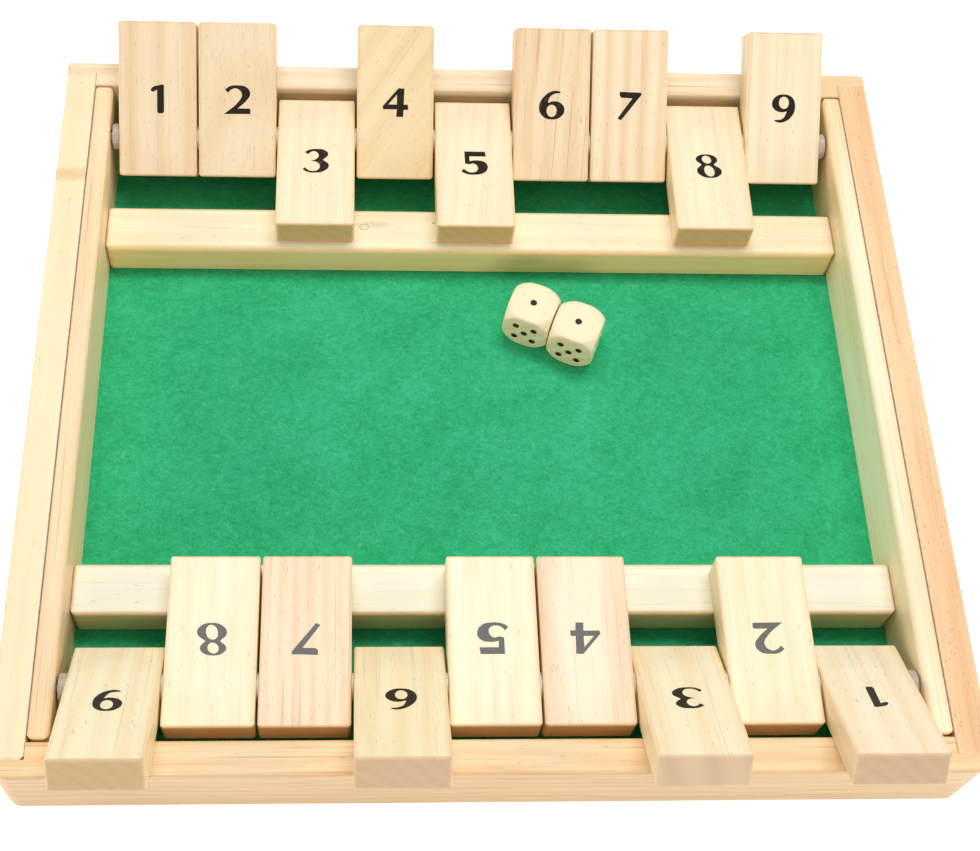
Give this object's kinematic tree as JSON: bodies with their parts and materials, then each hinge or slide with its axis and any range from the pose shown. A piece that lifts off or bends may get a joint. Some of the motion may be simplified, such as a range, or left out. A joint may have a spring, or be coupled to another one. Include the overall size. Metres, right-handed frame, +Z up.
{
  "type": "shut the box game",
  "caption": "Shallow wooden game tray with a felt floor, two facing rows of numbered tiles that flip on rods, and loose dice.",
  "frame": {"origin": "middle of the underside of the tray, on the surface that it stands on", "axes": "+X along the tile rows, to the right of the front player; +Y from the front player to the back player; +Z up"},
  "size_m": [0.275, 0.2592, 0.0488],
  "materials": {
    "front_board_wood": "sanded pale rubberwood under a thin clear lacquer, satin",
    "back_board_wood": "sanded pale rubberwood under a thin clear lacquer, satin",
    "left_board_wood": "sanded pale yellow wood under a thin clear lacquer, satin",
    "right_board_wood": "sanded warm pink wood under a thin clear lacquer, satin",
    "base_plywood": "thin plywood, sanded, unfinished",
    "green_felt": "dense pressed felt, matte",
    "rail_wood": "round-edged pale wood strip, satin",
    "bar_wood": "round-edged pale wood strip, satin",
    "axle_steel": "drawn steel rod, satin",
    "back_tile_wood": "sanded rubberwood with fine pores and black printed numbers, satin",
    "front_tile_wood": "sanded rubberwood with fine pores and black printed numbers, satin",
    "spacer_plastic": "natural nylon, slightly translucent",
    "washer_plastic": "thin white nylon",
    "dice_wood": "fine pale turned wood, satin",
    "number_ink": "black printed ink, satin",
    "pip_paint": "dark brown paint in the dice's pips, matte"
  },
  "bodies": {
    "root": {"front_board": "front_board_wood", "back_board": "back_board_wood", "left_board": "left_board_wood", "right_board": "right_board_wood", "base_panel": "base_plywood", "felt_lining": "green_felt", "left_axle_rail": "rail_wood", "right_axle_rail": "rail_wood", "front_rest_bar": "bar_wood", "back_rest_bar": "bar_wood", "front_axle": "axle_steel", "back_axle": "axle_steel"},
    "back_tile_1": {"back_tile_1": "back_tile_wood"},
    "back_tile_2": {"back_tile_2": "back_tile_wood"},
    "back_tile_3": {"back_tile_3": "back_tile_wood"},
    "back_tile_4": {"back_tile_4": "back_tile_wood"},
    "back_tile_5": {"back_tile_5": "back_tile_wood"},
    "back_tile_6": {"back_tile_6": "back_tile_wood"},
    "back_tile_7": {"back_tile_7": "back_tile_wood"},
    "back_tile_8": {"back_tile_8": "back_tile_wood"},
    "back_tile_9": {"back_tile_9": "back_tile_wood"},
    "front_tile_1": {"front_tile_1": "front_tile_wood"},
    "front_tile_2": {"front_tile_2": "front_tile_wood"},
    "front_tile_3": {"front_tile_3": "front_tile_wood"},
    "front_tile_4": {"front_tile_4": "front_tile_wood"},
    "front_tile_5": {"front_tile_5": "front_tile_wood"},
    "front_tile_6": {"front_tile_6": "front_tile_wood"},
    "front_tile_7": {"front_tile_7": "front_tile_wood"},
    "front_tile_8": {"front_tile_8": "front_tile_wood"},
    "front_tile_9": {"front_tile_9": "front_tile_wood"},
    "back_left_spacer": {"back_left_spacer": "spacer_plastic"},
    "back_right_spacer": {"back_right_spacer": "spacer_plastic"},
    "front_left_spacer": {"front_left_spacer": "spacer_plastic"},
    "front_right_spacer": {"front_right_spacer": "spacer_plastic"},
    "back_washers": {"back_washers": "washer_plastic"},
    "front_washers": {"front_washers": "washer_plastic"},
    "left_die": {"left_die": "dice_wood"},
    "right_die": {"right_die": "dice_wood"}
  },
  "joints": [
    {"name": "back_tile_1_flip", "type": "hinge", "parent": "root", "child": "back_tile_1", "pos_m": [0, 0.0962, 0.0227], "axis": [1, 0, 0], "range_deg": [0, 144.9]},
    {"name": "back_tile_2_flip", "type": "hinge", "parent": "root", "child": "back_tile_2", "pos_m": [0, 0.0962, 0.0227], "axis": [1, 0, 0], "range_deg": [0, 144.9]},
    {"name": "back_tile_3_flip", "type": "hinge", "parent": "root", "child": "back_tile_3", "pos_m": [0, 0.0962, 0.0227], "axis": [1, 0, 0], "range_deg": [-144.9, 0]},
    {"name": "back_tile_4_flip", "type": "hinge", "parent": "root", "child": "back_tile_4", "pos_m": [0, 0.0962, 0.0227], "axis": [1, 0, 0], "range_deg": [0, 144.9]},
    {"name": "back_tile_5_flip", "type": "hinge", "parent": "root", "child": "back_tile_5", "pos_m": [0, 0.0962, 0.0227], "axis": [1, 0, 0], "range_deg": [-144.9, 0]},
    {"name": "back_tile_6_flip", "type": "hinge", "parent": "root", "child": "back_tile_6", "pos_m": [0, 0.0962, 0.0227], "axis": [1, 0, 0], "range_deg": [0, 144.9]},
    {"name": "back_tile_7_flip", "type": "hinge", "parent": "root", "child": "back_tile_7", "pos_m": [0, 0.0962, 0.0227], "axis": [1, 0, 0], "range_deg": [0, 144.9]},
    {"name": "back_tile_8_flip", "type": "hinge", "parent": "root", "child": "back_tile_8", "pos_m": [0, 0.0962, 0.0227], "axis": [1, 0, 0], "range_deg": [-144.9, 0]},
    {"name": "back_tile_9_flip", "type": "hinge", "parent": "root", "child": "back_tile_9", "pos_m": [0, 0.0962, 0.0227], "axis": [1, 0, 0], "range_deg": [0, 144.9]},
    {"name": "front_tile_1_flip", "type": "hinge", "parent": "root", "child": "front_tile_1", "pos_m": [0, -0.0962, 0.0227], "axis": [1, 0, 0], "range_deg": [-144.9, 0]},
    {"name": "front_tile_2_flip", "type": "hinge", "parent": "root", "child": "front_tile_2", "pos_m": [0, -0.0962, 0.0227], "axis": [1, 0, 0], "range_deg": [0, 144.9]},
    {"name": "front_tile_3_flip", "type": "hinge", "parent": "root", "child": "front_tile_3", "pos_m": [0, -0.0962, 0.0227], "axis": [1, 0, 0], "range_deg": [-144.9, 0]},
    {"name": "front_tile_4_flip", "type": "hinge", "parent": "root", "child": "front_tile_4", "pos_m": [0, -0.0962, 0.0227], "axis": [1, 0, 0], "range_deg": [0, 144.9]},
    {"name": "front_tile_5_flip", "type": "hinge", "parent": "root", "child": "front_tile_5", "pos_m": [0, -0.0962, 0.0227], "axis": [1, 0, 0], "range_deg": [0, 144.9]},
    {"name": "front_tile_6_flip", "type": "hinge", "parent": "root", "child": "front_tile_6", "pos_m": [0, -0.0962, 0.0227], "axis": [1, 0, 0], "range_deg": [-144.9, 0]},
    {"name": "front_tile_7_flip", "type": "hinge", "parent": "root", "child": "front_tile_7", "pos_m": [0, -0.0962, 0.0227], "axis": [1, 0, 0], "range_deg": [0, 144.9]},
    {"name": "front_tile_8_flip", "type": "hinge", "parent": "root", "child": "front_tile_8", "pos_m": [0, -0.0962, 0.0227], "axis": [1, 0, 0], "range_deg": [0, 144.9]},
    {"name": "front_tile_9_flip", "type": "hinge", "parent": "root", "child": "front_tile_9", "pos_m": [0, -0.0962, 0.0227], "axis": [1, 0, 0], "range_deg": [-144.9, 0]},
    {"name": "back_left_spacer_spin", "type": "hinge", "parent": "root", "child": "back_left_spacer", "pos_m": [0, 0.0962, 0.0227], "axis": [1, 0, 0], "continuous": true},
    {"name": "back_right_spacer_spin", "type": "hinge", "parent": "root", "child": "back_right_spacer", "pos_m": [0, 0.0962, 0.0227], "axis": [1, 0, 0], "continuous": true},
    {"name": "front_left_spacer_spin", "type": "hinge", "parent": "root", "child": "front_left_spacer", "pos_m": [0, -0.0962, 0.0227], "axis": [1, 0, 0], "continuous": true},
    {"name": "front_right_spacer_spin", "type": "hinge", "parent": "root", "child": "front_right_spacer", "pos_m": [0, -0.0962, 0.0227], "axis": [1, 0, 0], "continuous": true},
    {"name": "back_washers_spin", "type": "hinge", "parent": "root", "child": "back_washers", "pos_m": [0, 0.0962, 0.0227], "axis": [1, 0, 0], "continuous": true},
    {"name": "front_washers_spin", "type": "hinge", "parent": "root", "child": "front_washers", "pos_m": [0, -0.0962, 0.0227], "axis": [1, 0, 0], "continuous": true},
    {"name": "left_die_lift", "type": "slide", "parent": "root", "child": "left_die", "axis": [0, 0, 1], "range_m": [0, 0.06]},
    {"name": "right_die_lift", "type": "slide", "parent": "root", "child": "right_die", "axis": [0, 0, 1], "range_m": [0, 0.06]}
  ]
}
